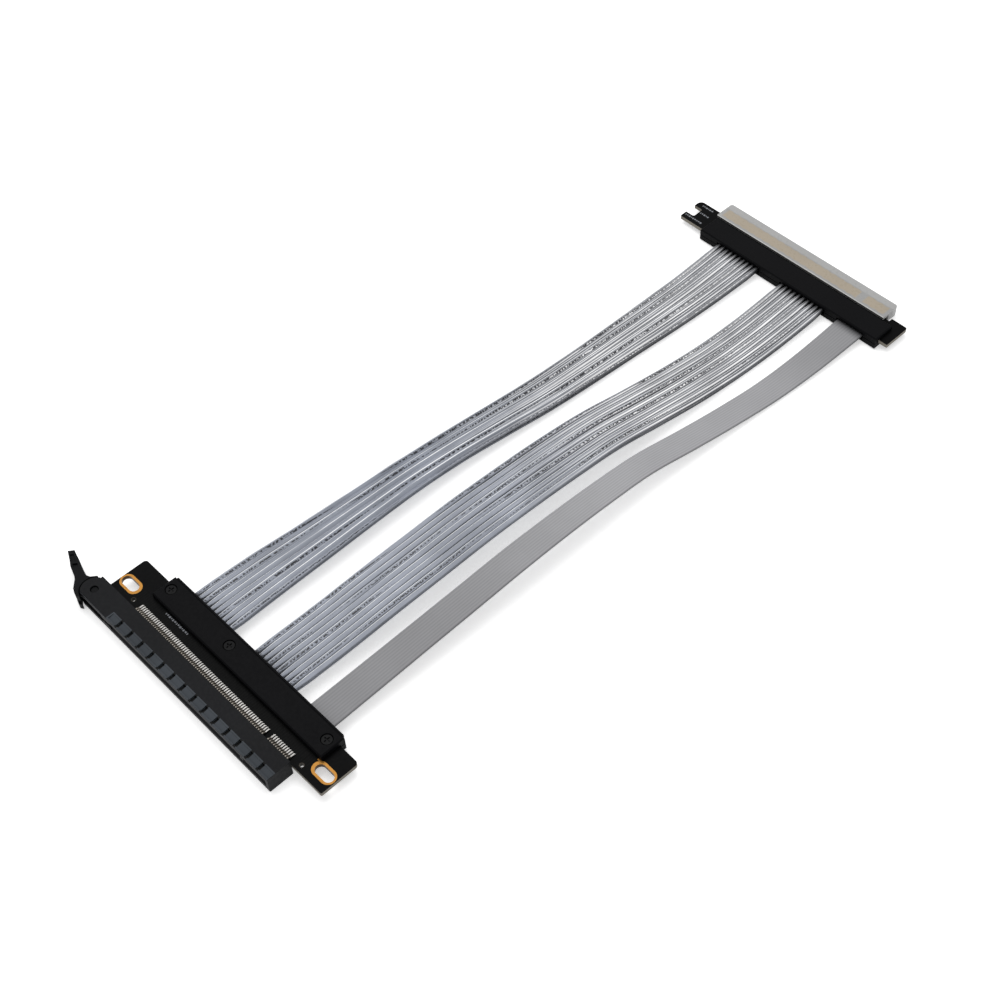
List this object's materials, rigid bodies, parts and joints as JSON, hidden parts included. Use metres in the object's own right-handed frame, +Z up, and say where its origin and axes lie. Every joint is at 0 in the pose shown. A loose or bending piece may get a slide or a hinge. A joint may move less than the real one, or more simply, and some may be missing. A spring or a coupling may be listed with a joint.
{
  "type": "gpu riser cable",
  "caption": "Flat riser cable with an edge-card socket and swinging latch at one end, and at the other a plug board whose edge tongue sits in a clear cap.",
  "frame": {"origin": "middle of the outline of the rigid pieces, at the height of the table", "axes": "+X from the socket to the plug, +Y along the slot towards its latch, +Z up from the table"},
  "size_m": [0.3136, 0.1412, 0.0115],
  "materials": {
    "housing": "satin moulded",
    "latch": "satin moulded",
    "contacts": "tinned spring metal",
    "board": "black solder mask",
    "cover": "matt moulded",
    "screw": "blackened",
    "foil": "satin foil wrap",
    "ribbon": "satin film",
    "cap": "clear milky"
  },
  "bodies": {
    "riser": {"slot_housing": "housing", "contact_row_upper": "contacts", "contact_row_lower": "contacts", "socket_board": "board", "socket_cover_upper": "cover", "socket_cover_lower": "cover", "socket_screw_1": "screw", "socket_screw_2": "screw", "socket_screw_3": "screw", "strip_group_1_upper": "foil", "strip_group_1_lower": "foil", "strip_group_2_upper": "foil", "strip_group_2_lower": "foil", "flat_ribbon": "ribbon", "plug_board": "board", "plug_cover_upper": "cover", "plug_cover_lower": "cover", "plug_screw_1": "screw", "plug_screw_2": "screw", "plug_screw_3": "screw"},
    "latch": {"card_latch": "latch"},
    "cap": {"finger_cap": "cap"}
  },
  "joints": [
    {"name": "latch_hinge", "type": "hinge", "parent": "riser", "child": "latch", "pos_m": [-0.15055, 0.0499, 0.00375], "axis": [0, 0, 1], "range_deg": [0, 28]},
    {"name": "cap_slide", "type": "slide", "parent": "riser", "child": "cap", "axis": [1, 0, 0], "range_m": [0, 0.012]}
  ]
}
